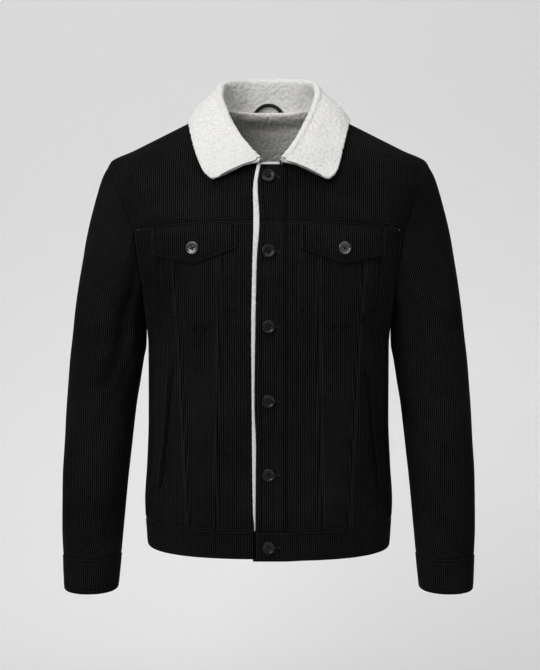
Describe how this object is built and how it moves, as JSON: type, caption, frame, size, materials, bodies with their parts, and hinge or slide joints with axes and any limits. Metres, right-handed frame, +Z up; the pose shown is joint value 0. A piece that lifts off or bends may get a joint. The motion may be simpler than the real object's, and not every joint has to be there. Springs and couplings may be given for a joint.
{
  "type": "sherpa lined jacket",
  "caption": "Hip-length corduroy jacket with a fleece collar, buttoned front placket, flap chest pockets and a hem band, filled out as worn.",
  "frame": {"origin": "middle of the neck opening, level with the neck ends of the shoulder seams, where the wearer's neck is", "axes": "+Z up, the front faces -Y, +X is the wearer's left"},
  "size_m": [0.6088, 0.2601, 0.7545],
  "materials": {
    "corduroy": "black corduroy with about eight wales to 25 mm",
    "fleece": "off-white nubbed sherpa fleece",
    "tape": "black woven tape",
    "front_button": "glossy black",
    "flap_button": "glossy dark grey"
  },
  "bodies": {
    "root": {"yoke_left": "corduroy", "yoke_right": "corduroy", "front_left": "corduroy", "front_right": "corduroy", "front_middle_left": "corduroy", "front_middle_right": "corduroy", "front_side_left": "corduroy", "front_side_right": "corduroy", "back": "corduroy", "placket_left": "corduroy", "facing_left": "fleece", "pocket_flap_left": "corduroy", "pocket_flap_right": "corduroy", "side_pocket_welt_left": "corduroy", "side_pocket_welt_right": "corduroy", "hem_band": "corduroy", "sleeve_left": "corduroy", "sleeve_right": "corduroy", "cuff_left": "corduroy", "cuff_right": "corduroy", "collar": "fleece", "lining_back_neck": "fleece", "hanging_loop": "tape", "front_button_1": "front_button", "front_button_2": "front_button", "front_button_3": "front_button", "front_button_4": "front_button", "front_button_5": "front_button", "front_button_6": "front_button", "flap_button_left": "flap_button", "flap_button_right": "flap_button"}
  },
  "joints": []
}
